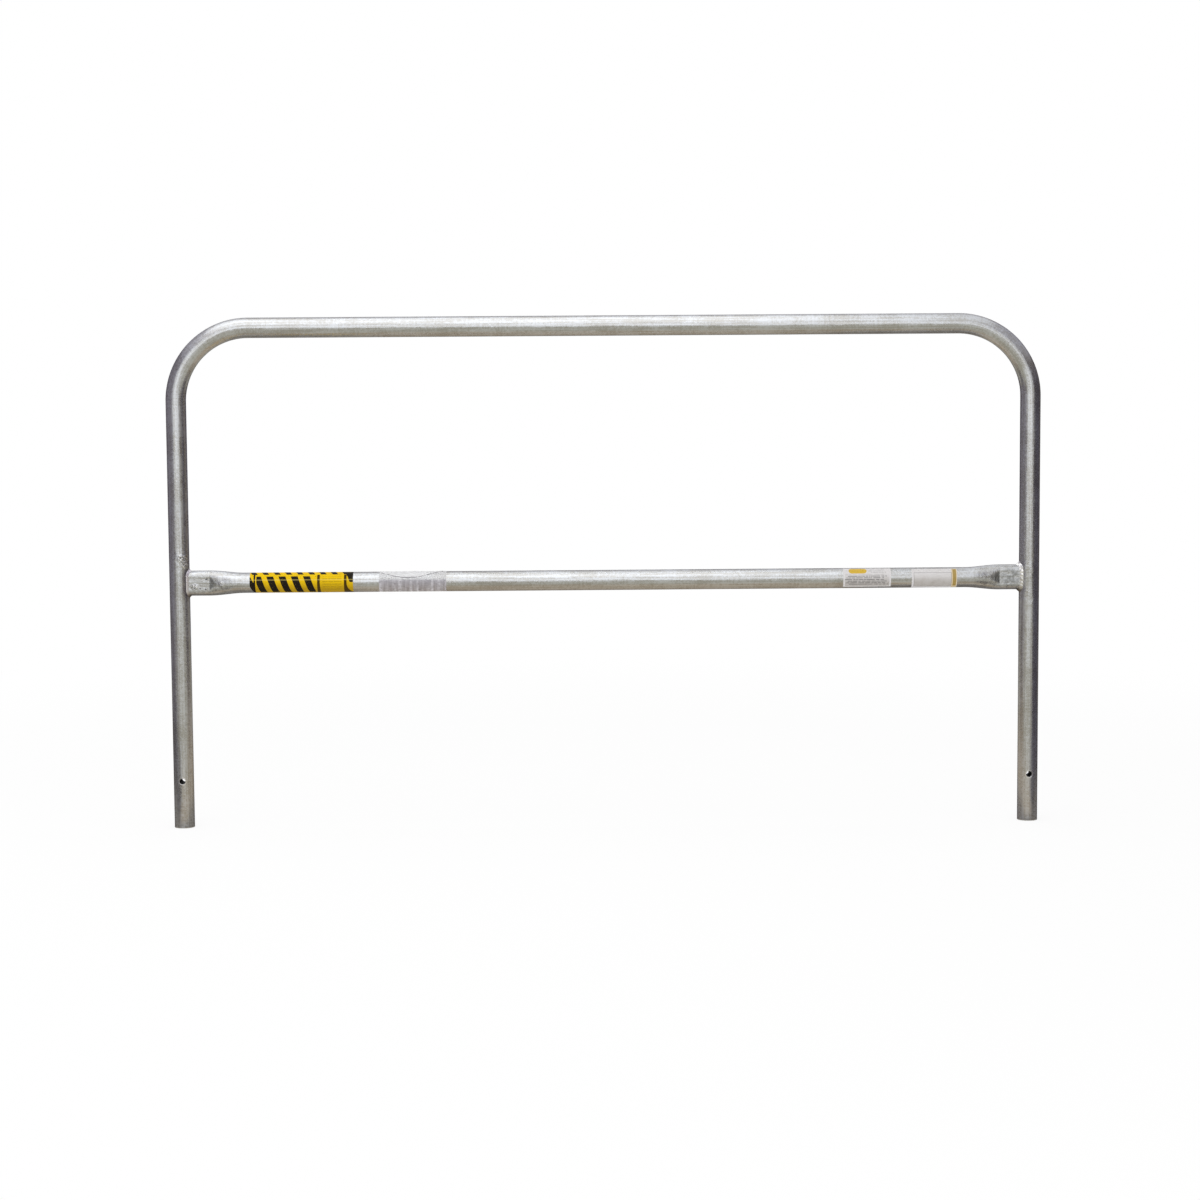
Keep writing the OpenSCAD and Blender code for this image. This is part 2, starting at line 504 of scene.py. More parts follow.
def cope_row(skin, side, inset):
    """The end of the rail, where it meets the curved side of the leg."""
    outline = section_outline(0.0, inset)
    xs = [side * (leg_x - math.sqrt(tube_r ** 2 - y ** 2)) for y, z in outline]
    return skin.row(
        [(x, y, rail_z + z) for x, (y, z) in zip(xs, outline)],
        [tube_place(x, tube_r, a) for x, a in zip(xs, TURNS)],
    )


def mid_rail_skin():
    skin = Skin()
    walls = []
    for inset in (0.0, tube_wall):
        rows = [cope_row(skin, -1, inset)]
        rows += [rail_row(skin, x, inset) for x in rail_stations]
        rows.append(cope_row(skin, 1, inset))
        skin.bridge_all(rows)
        walls.append(rows)
    for end in (0, -1):
        skin.bridge(walls[0][end], walls[1][end])
    return skin


mid_rail = make_piece("pressed_mid_rail", mid_rail_skin(), "mid_rail")

# %% [markdown]
# ## The welds
# A weld bead runs right round each end of the mid rail. It grows where the round top and bottom of the
# rail leave more room, and its surface is a row of frozen ripples, like a stack of coins pushed over. We
# sweep one arc along the joint: from the rail's surface, over the crown, to the leg's surface. The
# ripples are a wave along the sweep, and the wave leads in the middle of the arc, which bends each ripple
# into a crescent. A hand never moves evenly, so the wave also runs a little fast and slow.

# %% The joint line
WELD_ROOT = 0.8 * MM
RIPPLE_LEN = 8.4 * MM
RIPPLE_RINGS = 18
CROWN = 9
CROWN_SIDE = 1.7
CROWN_CORNER = 2.5
CRESCENT = 0.5
HAND = 0.9
ripples = round(girth / RIPPLE_LEN)


def press_edge(d):
    """Place and outward angle at a distance round the pressed end, from the low end of its back flat."""
    arc = math.pi * press_t / 2
    if d < press_flat:
        return press_t / 2, d - press_flat / 2, 0.0
    if d < press_flat + arc:
        a = math.pi * (d - press_flat) / arc
        return press_t / 2 * math.cos(a), press_flat / 2 + press_t / 2 * math.sin(a), a
    if d < girth - arc:
        return -press_t / 2, 1.5 * press_flat + arc - d, math.pi
    a = math.pi + math.pi * (d - girth + arc) / arc
    return press_t / 2 * math.cos(a), -press_flat / 2 + press_t / 2 * math.sin(a), a


print("ripples round a bead:", ripples)

# %% Sweep the beads
def weld_ring(d, leg, corner, ripple_share):
    """One ring of the bead in the leg's own place: the leg's axis at x = 0, the rail towards +x."""
    y, z, facing = press_edge(d)
    side, up = math.cos(facing), math.sin(facing)
    seat = math.asin(y / tube_r)
    joint = np.array([tube_r * math.cos(seat), y, z])
    power = CROWN_SIDE + (CROWN_CORNER - CROWN_SIDE) * up * up
    turn = 2 * math.pi * d / girth
    hand = HAND * (math.sin(3 * turn) + math.sin(5 * turn + 2)) / 2
    points = []
    for i in range(CROWN):
        lead = i / (CROWN - 1)
        wave = math.pi * (d * ripples / girth + CRESCENT * 4 * lead * (1 - lead)) + hand
        swell = 1 - ripple_share * (1 - abs(math.sin(wave)))
        size = swell * (leg + (corner - leg) * up * up)
        toe = seat + size * side / tube_r
        along = np.array([size, 0.0, 0.0])
        out = np.array([tube_r * math.cos(toe), tube_r * math.sin(toe), z + size * up]) - joint
        arc = math.pi / 2 * lead
        points.append(joint + along * math.cos(arc) ** power + out * math.sin(arc) ** power)
    root = np.array([0.0, side, up]) * WELD_ROOT
    deep = tube_r - WELD_ROOT
    points.append(np.array([deep * math.cos(toe), deep * math.sin(toe), z + size * up]))
    points.append(joint - root - np.array([WELD_ROOT, 0.0, 0.0]))
    points.append(joint - root + along)
    return points


def weld_skin(side, leg, corner, ripple_share):
    skin = Skin()
    count = ripples * RIPPLE_RINGS
    rows = []
    for k in range(count):
        ring = weld_ring(girth * k / count, leg * MM, corner * MM, ripple_share)
        points = [(side * (leg_x - x), y, rail_z + z) for x, y, z in ring]
        places = [(girth * k / count, i * MM, side) for i in range(len(ring))]
        rows.append(skin.row(points, places))
    skin.bridge_all(rows + rows[:1])
    return skin


# Side of the bead, its leg on the flats and at the corners, and the depth of its ripples
LEFT_BEAD = (-1, 3.2, 4.5, 0.08)
RIGHT_BEAD = (1, 4.6, 7.6, 0.28)
left_bead = make_piece("left_bead", weld_skin(*LEFT_BEAD), "weld_left")
right_bead = make_piece("right_bead", weld_skin(*RIGHT_BEAD), "weld_right")

# %% [markdown]
# ## The labels
# A label is a thin sheet bent round the rail. It is a strip of columns along the rail, and each column is
# a loop: up the outside of the sheet and down the inside. For the labels, the place that the finishes
# read is the flat sheet: how far along it a point is, and how far up from the front of the rail. That
# makes it easy to print shapes on the sheet before it is bent.

# %% Bend the labels
LABEL_T = 0.15 * MM
LABEL_COLUMN = 2.0 * MM
LABEL_ROW = math.radians(2.5)


def no_lift(along, up):
    return 0.0


def no_tear(along):
    return -math.inf


def label_skin(node, wrap, turn, lift=no_lift, tear=no_tear):
    """A strip bent round the rail, where lift raises it and tear takes away a lower corner."""
    low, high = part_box(node)
    length = high.x - low.x
    columns = spaced(0, length, LABEL_COLUMN) + [length]
    half = math.radians(wrap) / 2
    middle = math.radians(turn)
    steps = math.ceil(2 * half / LABEL_ROW)
    skin = Skin()
    rows = []
    for along in columns:
        start = max(middle - half, tear(along / MM))
        angles = [start + (middle + half - start) * i / steps for i in range(steps + 1)]
        spots = [(a, LABEL_T) for a in angles] + [(a, 0.0) for a in reversed(angles)]
        points, places = [], []
        for a, out in spots:
            radius = tube_r + out + lift(along / length, (a - middle) / half)
            points.append((low.x + along, -radius * math.cos(a), rail_z + radius * math.sin(a)))
            places.append((along, a * tube_r, out))
        rows.append(skin.row(points, places))
    skin.bridge_all(rows)
    for row in (rows[0], rows[-1]):
        count = len(angles)
        outside, inside = row[:count], row[:count - 1:-1]
        skin.bridge(outside, inside, looped=False)
    return skin


print("labels have a point every", LABEL_COLUMN / MM, "mm along the rail")

# %% Loose and torn edges
LIFT_LOW, LIFT_TOP = 0.03 * MM, 0.9 * MM
LIFT_WAVES, LIFT_START = 2.2, 0.15
TEAR_FROM, TEAR_SLOPE = -17, -6.2


def film_lift(along, up):
    """The clear film has come loose along its top edge, in slow waves."""
    wave = 0.5 + 0.5 * math.sin(2 * math.pi * (LIFT_WAVES * along + LIFT_START))
    return LIFT_LOW + LIFT_TOP * max(0.0, up) ** 4 * wave


def stripe_tear(along):
    """Lowest angle of the striped label: its lower left corner is gone."""
    return math.radians(TEAR_FROM + TEAR_SLOPE * along)


print("the film's top edge lifts by up to", round((LIFT_LOW + LIFT_TOP) / MM, 2), "mm")

# %% Put the labels on
# Angle that each label covers, and the angle of its middle above the front of the rail
STRIPE_WRAP = (340, 45)
FILM_WRAP = (168, 6)
RULED_WRAP = (127, 9)
PLATE_WRAP = (134, -5)

stripe_strip = label_skin("stripe_label", *STRIPE_WRAP, tear=stripe_tear)
stripe = make_piece("stripe_wrap", stripe_strip, "stripe_label")
film_strip = label_skin("film_label", *FILM_WRAP, lift=film_lift)
film = make_piece("clear_film", film_strip, "film_label")
ruled = make_piece("ruled_sticker", label_skin("ruled_label", *RULED_WRAP), "ruled_label")
plate = make_piece("plate_sticker", label_skin("plate_label", *PLATE_WRAP), "plate_label")

# %% [markdown]
# ## Shader maths in plain Python
# A procedural finish is a formula. Wiring dozens of Math nodes by hand hides the formula, so one small
# class wraps a socket and overloads the operators: mask * 0.5 or 1 - mask adds the Math node by itself.
# Every other kind of node comes from one method, which takes its type, its settings and its inputs.

# %% The wire class
class Wire:
    """One output socket of a shader, for use in Python expressions."""

    def __init__(self, tree, socket=None):
        self.tree = tree
        self.socket = socket

    def node(self, kind, settings=None, inputs=None, out=0):
        """Adds a node of a type, with its settings first, and the values or wires of its sockets."""
        made = self.tree.nodes.new("ShaderNode" + kind)
        for name, value in (settings or {}).items():
            setattr(made, name, value)
        for name, value in (inputs or {}).items():
            if isinstance(value, Wire):
                self.tree.links.new(value.socket, made.inputs[name])
            else:
                made.inputs[name].default_value = value
        return Wire(self.tree, made.outputs[out])

    def output(self, key):
        """Another output of the same node."""
        return Wire(self.tree, self.socket.node.outputs[key])

    def sum(self, operation, a, b):
        return self.node("Math", {"operation": operation}, {0: a, 1: b})

    def __add__(self, other):
        return self.sum("ADD", self, other)

    def __sub__(self, other):
        return self.sum("SUBTRACT", self, other)

    def __rsub__(self, other):
        return self.sum("SUBTRACT", other, self)

    def __mul__(self, other):
        return self.sum("MULTIPLY", self, other)

    def __gt__(self, other):
        return self.sum("GREATER_THAN", self, other)

    def __lt__(self, other):
        return self.sum("LESS_THAN", self, other)

    def __mod__(self, other):
        return self.sum("FLOORED_MODULO", self, other)

    def __abs__(self):
        return self.sum("ABSOLUTE", self, 0.0)

    __radd__ = __add__
    __rmul__ = __mul__

    def most(self, other):
        return self.sum("MAXIMUM", self, other)


# %% [markdown]
# A few patterns come back in several finishes: grain that is stretched along one direction, a soft step
# between two values, and a blend of two colours. Each is one node or two, so each gets a short function.

# %% Patterns
def new_finish(name, roughness, metallic=0.0):
    """A material, its main shader and a wire to start its formulas from."""
    made = bpy.data.materials.new(name)
    made.use_nodes = True
    shader = made.node_tree.nodes["Principled BSDF"]
    shader.inputs["Roughness"].default_value = roughness
    shader.inputs["Metallic"].default_value = metallic
    return made, shader, Wire(made.node_tree)


def flat_place(start):
    """The place on the straightened tube or the flat sheet, in millimetres."""
    place = start.node("Attribute", {"attribute_name": "straight"}, out=1)
    return start.node("VectorMath", {"operation": "SCALE"}, {0: place, "Scale": 1 / MM})


def grain(place, size, detail=2.0, stretch=(1.0, 1.0, 1.0)):
    """Noise about 0.5, with features of a size in millimetres."""
    scaled = place.node("VectorMath", {"operation": "MULTIPLY"}, {0: place, 1: stretch})
    return place.node("TexNoise", None, {"Vector": scaled, "Scale": 1 / size, "Detail": detail})


def soft_step(value, start, end):
    """0 below start, 1 above end, smooth between."""
    return value.node("MapRange", {"interpolation_type": "SMOOTHSTEP"}, {0: value, 1: start, 2: end})


def blend(share, a, b):
    """Colour a where share is 0 and colour b where it is 1."""
    return share.node("Mix", {"data_type": "RGBA"}, {0: share, 6: a, 7: b}, out=2)


def feed(shader, **inputs):
    for name, wire in inputs.items():
        wire.tree.links.new(wire.socket, shader.inputs[name.replace("_", " ")])


def bump(height, strength, distance):
    """A normal from a height between 0 and 1, where distance is the height in millimetres."""
    return height.node("Bump", None, {"Height": height, "Strength": strength, "Distance": distance * MM})


def dress(piece, finish):
    """Gives a piece its material."""
    piece.data.materials.append(finish)
    print(piece.name, "is dressed in", finish.name, "with", len(finish.node_tree.nodes), "nodes")


# %% [markdown]
# ## The galvanised finish
# Hot-dip zinc is a dull mirror. It has a mottle a few centimetres wide, finer dapples, long thin streaks
# where it ran off, and, on a drawn tube, fine rings left by the forming rolls. Metal shows mostly what it
# reflects, so these work through the roughness and a bump: a slope of three degrees already bends the
# edge of a highlight. Steel seen at a glancing angle turns white in a plain shader. Weathered zinc
# doesn't, so the edge tint is grey. The sizes are millimetres.

# %% Colours and grain of the zinc
ZINC_COOL = (0.62, 0.64, 0.67, 1)
ZINC_WARM = (0.46, 0.455, 0.44, 1)
ZINC_EDGE = (0.42, 0.40, 0.44, 1)
# Painted shade beside the welds, where the rail meets the leg
ZINC_JOINT_SHADE = (0.24, 0.22, 0.26, 1)
# Painted shade on the pressed facets and the right flat
ZINC_FACET_SHADE = (0.20, 0.207, 0.207, 1)
# Bright rims of the holes, and painted highlight on the tops of spatter lumps
ZINC_BRIGHT = (0.92, 0.92, 0.93, 1)
# Painted shade in pits, and between the lumps of spatter
ZINC_PIT_SHADE = (0.10, 0.10, 0.11, 1)
MOTTLE = 42
FLOW = 7
DAPPLE = 5
STREAK = 3.0
RINGS = 1.3
SPECK = 1.6
CRUST = 2.0
DENTS = 8
# Grain of the ragged edge of the painted shade on the right flat
FLAT_SHADE_GRAIN = 8
WAVE_HEIGHT = 0.4
print("zinc grain from", RINGS, "to", MOTTLE, "mm")

# %% [markdown]
# ## Marks on the zinc
# Some marks have a place: crusts where spatter stuck, with painted highlight on their lumps and painted
# shade between them, small pits painted dark as painted shade, painted shade beside the welds, areas that
# the press or a hammer worked, and the bright rims of the drilled holes. They could be painted by hand on
# an image, but a formula is easier to change: each mark is a ball of influence round a point, and the
# spots of one kind share a mask.

# %% Spots on the zinc
SPOT_CORE = 0.5


def near(place, spots):
    """1 at any of some spots, each a centre and a radius in millimetres, and 0 away from them."""
    share = None
    for centre, radius in spots:
        apart = place.node("VectorMath", {"operation": "DISTANCE"}, {0: place, 1: centre}, out=1)
        ball = 1 - soft_step(apart, radius * SPOT_CORE, radius)
        share = ball if share is None else share.most(ball)
    return share


def leg_spot(along, angle, radius):
    """A spot on the left leg, at an angle from the front towards the rail."""
    return Vector(tube_place(along, tube_r, -math.radians(angle))) / MM, radius


def rail_spot(x, up, radius):
    """A spot on the front of the rail, at a distance above its middle."""
    return Vector(tube_place(x, tube_r, up / tube_r)) / MM, radius


print("middle of the rail's front:", rail_spot(0, 0, 0)[0])

# %% The zinc on the tubes
def zinc_finish(name, crusts, shaded_pits, shaded_joints, worked, dull=None, rims=None):
    """Zinc with its marks, where dull makes a mask of painted shade and rims are bright spots."""
    made, shader, start = new_finish(name, 0.3, 1.0)
    place = flat_place(start)
    mottle = grain(place, MOTTLE, 3.0)
    flow = grain(place, FLOW, 2.0, (0.15, 1.0, 1.0))
    dapple = grain(place, DAPPLE, 3.0)
    streak = grain(place, STREAK, 1.0, (0.02, 1.0, 1.0))
    rings = grain(place, RINGS, 1.0, (1.0, 0.03, 0.03))
    speck = grain(place, SPECK, 2.0)
    crust = near(place, crusts)
    lumps = grain(place, CRUST, 1.0)
    dents = near(place, worked) * grain(place, DENTS, 3.0)
    tone = soft_step(mottle * 0.25 + dapple * 0.3 + rings * 0.1 + streak * 0.35, 0.4, 0.6)
    # Painted shade beside the welds, where the rail meets the leg, mottled by the dapple
    joint_shade = near(place, shaded_joints) * (0.35 + soft_step(dapple, 0.3, 0.6) * 0.6)
    colour = blend(joint_shade, blend(tone, ZINC_WARM, ZINC_COOL), ZINC_JOINT_SHADE)
    if rims:
        colour = blend(near(place, rims) * 0.7, colour, ZINC_BRIGHT)
    if dull:
        # The dull mask is painted shade on the pressed facets and the right flat
        colour = blend(dull(place) * (0.6 + dapple * 0.4), colour, ZINC_FACET_SHADE)
    # Spatter crusts: painted highlight where their lumps rise and painted shade where they sink
    colour = blend(crust * soft_step(lumps, 0.52, 0.58) * 0.9, colour, ZINC_BRIGHT)
    colour = blend(crust * (1 - soft_step(lumps, 0.38, 0.46)) * 0.9, colour, ZINC_PIT_SHADE)
    waves = flow * 0.8 + dapple * 0.5 + streak * 0.3 + rings * 0.06 + speck * 0.12
    rough = 0.10 + mottle * 0.14 + dapple * 0.12 + speck * 0.10
    # Pits are painted dark in the base colour, as painted shade
    feed(
        shader,
        Base_Color=blend(near(place, shaded_pits), colour, ZINC_PIT_SHADE),
        Roughness=rough,
        Normal=bump(waves + dents * 1.5 + crust * lumps * 2.4, 1.0, WAVE_HEIGHT),
    )
    shader.inputs["Specular Tint"].default_value = ZINC_EDGE
    return made


# %% [markdown]
# ## Painted shade on the rail
# The press left a facet on each swelling stretch, widest at the crease and narrowing to a point, and it
# is painted dark, as painted shade. The flat at the right end has a ragged grey patch of painted shade.
# The facet's mask is a soft step whose height falls as the distance from the crease grows.

# %% The shaded facets and the flat
FACET_EDGE, FACET_SLANT = (10, 14), 0.5
FLAT_SHADE_SPOT = (0.852, 0.0, 24)


def shaded_facets_and_flat(place):
    axes = place.node("SeparateXYZ", None, {0: place})
    up = axes.output(2)
    inward = (leg_x - crease_x) / MM - abs(axes)
    # The facets are painted dark, as painted shade
    inside = 1 - soft_step(abs(up) + inward * FACET_SLANT, *FACET_EDGE)
    facets = inside * soft_step(inward, -0.6, 0.4) * (1 - soft_step(inward, 4, facet_len / MM))
    # A ragged patch of painted shade on the right flat
    flat_shade = near(place, [rail_spot(*FLAT_SHADE_SPOT)]) * soft_step(grain(place, FLAT_SHADE_GRAIN, 2.0), 0.34, 0.56)
    return facets.most(flat_shade * 0.72)


print("facets", round(facet_len / MM, 1), "mm long")

# %% Finish the tubes
# Crusts of spatter, with painted highlight and painted shade on their lumps
leg_crusts = [leg_spot(0.569, 26, 12), leg_spot(0.558, 42, 11)]
# Pits, painted dark as painted shade
leg_pit_shade = [leg_spot(0.5710, 17, 1.8), leg_spot(0.5660, 37, 2.0), leg_spot(0.5685, 30, 1.4)]
# Painted shade on the side of the leg that faces the rail, beside the weld
leg_joint_shade = [leg_spot(rail_z + 0.012, 74, 24), leg_spot(rail_z - 0.012, 74, 24)]
leg_worked = [
    leg_spot(0.560, 30, 34),
    leg_spot(TUBE_LEN - 0.474, 10, 26),
    leg_spot(TUBE_LEN - 0.530, 20, 24),
]
leg_rims = [leg_spot(pin_z, 0, 11), leg_spot(TUBE_LEN - pin_z, 0, 11)]
leg_marks = (leg_crusts, leg_pit_shade, leg_joint_shade, leg_worked)
dress(frame_tube, zinc_finish("galvanised frame zinc", *leg_marks, rims=leg_rims))

# Crusts of spatter on the pressed ends, with painted highlight and painted shade on their lumps
rail_crusts = [rail_spot(-0.804, -0.002, 8), rail_spot(-0.861, -0.007, 8)]
# Pits on the pressed end, painted dark as painted shade
rail_pit_shade = [
    rail_spot(-0.8345, 0.0092, 2.2), rail_spot(-0.8368, 0.0083, 1.6),
    rail_spot(-0.8490, -0.0108, 1.8), rail_spot(-0.8376, -0.0122, 2.0),
]
# Painted shade on the rail beside the left weld
rail_joint_shade = [rail_spot(-0.876, 0.024, 7)]
rail_worked = [rail_spot(side * x, 0.0, 36) for side in (-1, 1) for x in (0.862, 0.835, 0.800)]
rail_marks = (rail_crusts, rail_pit_shade, rail_joint_shade, rail_worked)
dress(mid_rail, zinc_finish("galvanised rail zinc", *rail_marks, dull=shaded_facets_and_flat))

# %% [markdown]
# ## The weld finish
# The beads were dipped too. The left one is as dull as the tube. The right one is shinier in its upper
# part, in patches, and dull below. Both are painted lighter in their upper part, as painted light, and
# dark underneath, as painted shade; on the right one, patches of its own tone mix into the lighter part.
# The place that a bead keeps is its distance round the joint, which starts at the low end of the back,
# goes over the top and comes down the front.

# %% The zinc on the welds
# Lit and shaded copies of each bead's zinc: painted light above, painted shade below
DULL_WELD_LIT = (0.76, 0.72, 0.78, 1)
DULL_WELD_SHADED = (0.68, 0.66, 0.67, 1)
BRIGHT_WELD_LIT = (1.00, 1.00, 1.00, 1)
BRIGHT_WELD_SHADED = (0.60, 0.59, 0.56, 1)
# Painted shade underneath the beads
UNDERSIDE_SHADE = (0.17, 0.16, 0.155, 1)
# Distances round the joint, in millimetres, between which the upper part ends and the underside begins
UPPER_END = (68, 88)
UNDER_START = (96, 108)
WELD_PATCH = 5.0
WELD_GRAIN = 1.6


def weld_finish(name, upper, lower, patchy):
    made, shader, start = new_finish(name, 0.25, 1.0)
    place = flat_place(start)
    round_joint = start.node("SeparateXYZ", None, {0: place})
    patch = soft_step(grain(place, WELD_PATCH), 0.44, 0.58)
    # The upper part is painted lighter, as painted light; on the right bead, patches of its own tone mix
    # in
    above = 1 - soft_step(round_joint, *UPPER_END)
    tone = above * (1 - patchy) + patch * patchy
    colour = blend(tone, lower, upper)
    # The underside is painted dark, as painted shade
    feed(
        shader,
        Base_Color=blend(soft_step(round_joint, *UNDER_START), colour, UNDERSIDE_SHADE),
        Roughness=0.42 - tone * 0.16,
        Normal=bump(grain(place, WELD_GRAIN), 0.6, 0.3),
    )
    shader.inputs["Specular Tint"].default_value = ZINC_EDGE
    return made


dress(left_bead, weld_finish("dull weld zinc", DULL_WELD_LIT, DULL_WELD_SHADED, 0.3))
dress(right_bead, weld_finish("bright weld zinc", BRIGHT_WELD_LIT, BRIGHT_WELD_SHADED, 0.45))

# %% [markdown]
# ## Printing on the labels
# Print is drawn as masks on the flat sheet: a box, a slanted bar or a line, each 1 inside and 0 outside.
# A band is two soft steps multiplied, a box is two bands, and a row of bars is a band on a coordinate
# that repeats. The designs are plain shapes.

# %% Masks
EDGE = 0.12


def sheet_axes(start):
    """Millimetres along the sheet, and up from the front of the rail."""
    axes = start.node("SeparateXYZ", None, {0: flat_place(start)})
    return axes, axes.output(1)


def band(value, low, high, edge=EDGE):
    """1 between low and high."""
    return soft_step(value, low - edge, low + edge) * (1 - soft_step(value, high - edge, high + edge))


def box(along, up, left, right, low, high):
    """1 inside a box on the sheet."""
    return band(along, left, right) * band(up, low, high)


def bars(value, pitch, width):
    """A row of bars, each width wide, one every pitch."""
    return band(value % pitch, EDGE, width)


def lines(value, first, last, pitch, width):
    """Thin lines from first up to last, one every pitch."""
    return bars(value - first, pitch, width) * band(value, first, last)


print("edges of the print are", 2 * EDGE, "mm soft")

# %% [markdown]
# ## The black and yellow label
# The middle of the label has a row of slanted black bars, a thin divider and a plain panel with faint
# rules. A border of short black bars runs above and below them, and a black block with a slanted side
# closes each end. The vinyl is dull and faded in patches, painted darker towards the bottom as painted
# shade, with a painted highlight line along its front. The sizes are millimetres along the label and up
# from the front of the rail.

# %% Colours and sizes of the striped print
YELLOW = (0.84, 0.55, 0.004, 1)
YELLOW_WORN = (0.66, 0.42, 0.003, 1)
# Painted shade on the lower part of the label
YELLOW_SHADED = (0.43, 0.26, 0.001, 1)
# Painted highlight along the front
YELLOW_HIGHLIGHT = (0.92, 0.74, 0.22, 1)
INK = (0.012, 0.009, 0.006, 1)
BROWN_INK = (0.060, 0.034, 0.002, 1)
FAINT = (0.34, 0.22, 0.006, 1)
VINYL_SHINE = 0.07

BAR_PITCH, BAR_WIDTH, BAR_SLANT = 25.6, 14.5, 0.35
BAR_FIELD = (14, 138, -24, 15)
BORDER_PITCH, BORDER_WIDTH, BORDER_SLANT = 24.0, 11.5, 0.5
BORDER_START, BORDER_MIDDLE, BORDER_REACH = 15, -4, (23.8, 37)
CORNER_WIDTH, CORNER_SLOPE, CORNER_TOP = 10.5, 1.7, 15
LEFT_LINE, LEFT_LINE_TOP = (8.2, 11.8), 22
END_WIDTH, END_SLANT, END_REACH = 6.4, 0.4, (1.5, 33)
DIVIDER, RIGHT_LINE, LINE_TOP = (141.0, 146.6), (197.0, 202.6), 19
RULE_FIELD = (152, 192)
RULE_FIRST, RULE_LAST, RULE_PITCH, RULE_WIDTH = -15, 14, 5.6, 2.2
# Where the painted highlight runs along the front
HIGHLIGHT_LINE = (5.8, 8.0)
stripe_low, stripe_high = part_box("stripe_label")
stripe_len = (stripe_high.x - stripe_low.x) / MM
print("striped label", round(stripe_len, 1), "mm long, with a bar every", BAR_PITCH, "mm")

# %% The striped vinyl
def stripe_ink(along, up):
    """The black bars, the border and the two black ends."""
    bar_row = bars(along + up * BAR_SLANT - BAR_FIELD[0], BAR_PITCH, BAR_WIDTH)
    border_row = bars(along + up * BORDER_SLANT - BORDER_START, BORDER_PITCH, BORDER_WIDTH)
    corner = (along < CORNER_WIDTH) * (up + along * CORNER_SLOPE < CORNER_TOP)
    left_line = band(along, *LEFT_LINE) * (up < LEFT_LINE_TOP)
    right_end = (along + up * END_SLANT > stripe_len - END_WIDTH) * band(up, *END_REACH)
    ink = bar_row * box(along, up, *BAR_FIELD)
    ink = ink.most(border_row * band(abs(up - BORDER_MIDDLE), *BORDER_REACH))
    return ink.most(corner).most(left_line).most(right_end)


def stripe_lines(along, up):
    """The divider and the line at the right, which widen below the front of the rail."""
    sag = (0 - up).most(0.0)
    divider = band(along, DIVIDER[0], DIVIDER[1] + sag * 0.07)
    right_line = (along > RIGHT_LINE[0]) * (along < RIGHT_LINE[1] + sag * sag * 0.022)
    return divider.most(right_line) * (up < LINE_TOP)


def stripe_finish():
    made, shader, start = new_finish("striped vinyl", 0.3)
    along, up = sheet_axes(start)
    place = flat_place(start)
    rules = lines(up, RULE_FIRST, RULE_LAST, RULE_PITCH, RULE_WIDTH) * band(along, *RULE_FIELD)
    rules = rules * soft_step(grain(place, 3.0), 0.36, 0.46)
    worn = soft_step(grain(place, 18, 4.0), 0.46, 0.66)
    paper = blend(worn * 0.5, YELLOW, YELLOW_WORN)
    # Painted shade: darker towards the bottom
    paper = blend(1 - soft_step(up, -18, 12), paper, YELLOW_SHADED)
    paper = blend(rules * 0.6, paper, FAINT)
    chips = soft_step(grain(place, 2.2, 3.0), 0.64, 0.74)
    paper = blend(stripe_lines(along, up), paper, BROWN_INK)
    printed = blend(stripe_ink(along, up) * (1 - chips * 0.5), paper, INK)
    # A painted highlight line runs along the front
    feed(
        shader,
        Base_Color=blend(band(up, *HIGHLIGHT_LINE, 0.9) * 0.3, printed, YELLOW_HIGHLIGHT),
        Roughness=0.34 + grain(place, 9, 3.0) * 0.2,
        Normal=bump(grain(place, 6, 2.0), 0.15, 0.15),
    )
    shader.inputs["Specular IOR Level"].default_value = VINYL_SHINE
    return made


dress(stripe, stripe_finish())

# %% [markdown]
# ## The clear film
# What is left of a clear label is a hazy skin. Above a sagging line it has come loose; its white there is
# a painted highlight, and a dark line of painted shadow runs along the sagging line. Below the line it is
# a lilac haze with pale upright bars of several widths, painted darker towards the bottom as painted
# shade and whiter towards the top as painted light, and a few painted glints at its upper right. Alpha
# lets the zinc show through, and the haze decides how much.

# %% The film
FILM_HAZE = (0.44, 0.42, 0.46, 1)
# Painted shade on the lower part of the film
FILM_SHADED = (0.40, 0.36, 0.355, 1)
FILM_PRINT = (0.66, 0.64, 0.67, 1)
# Painted highlight on the loose part, towards the top and in the glints
FILM_HIGHLIGHT = (0.95, 0.95, 0.96, 1)
# Painted shadow along the sagging line
FILM_EDGE_SHADOW = (0.16, 0.15, 0.17, 1)
FILM_BARS = [(0, 6), (30, 35), (40, 48), (65, 69), (79, 83), (109, 113), (121, 129), (138, 141)]
BAR_EDGE = 2.0
# Place along the film, height and curve of the sagging line, and where the glints are
DIP_AT, DIP_LOW, DIP_CURVE = 61, 11, 0.0042
GLINTS_ALONG, GLINTS_UP = (80, 124), (6, 14)


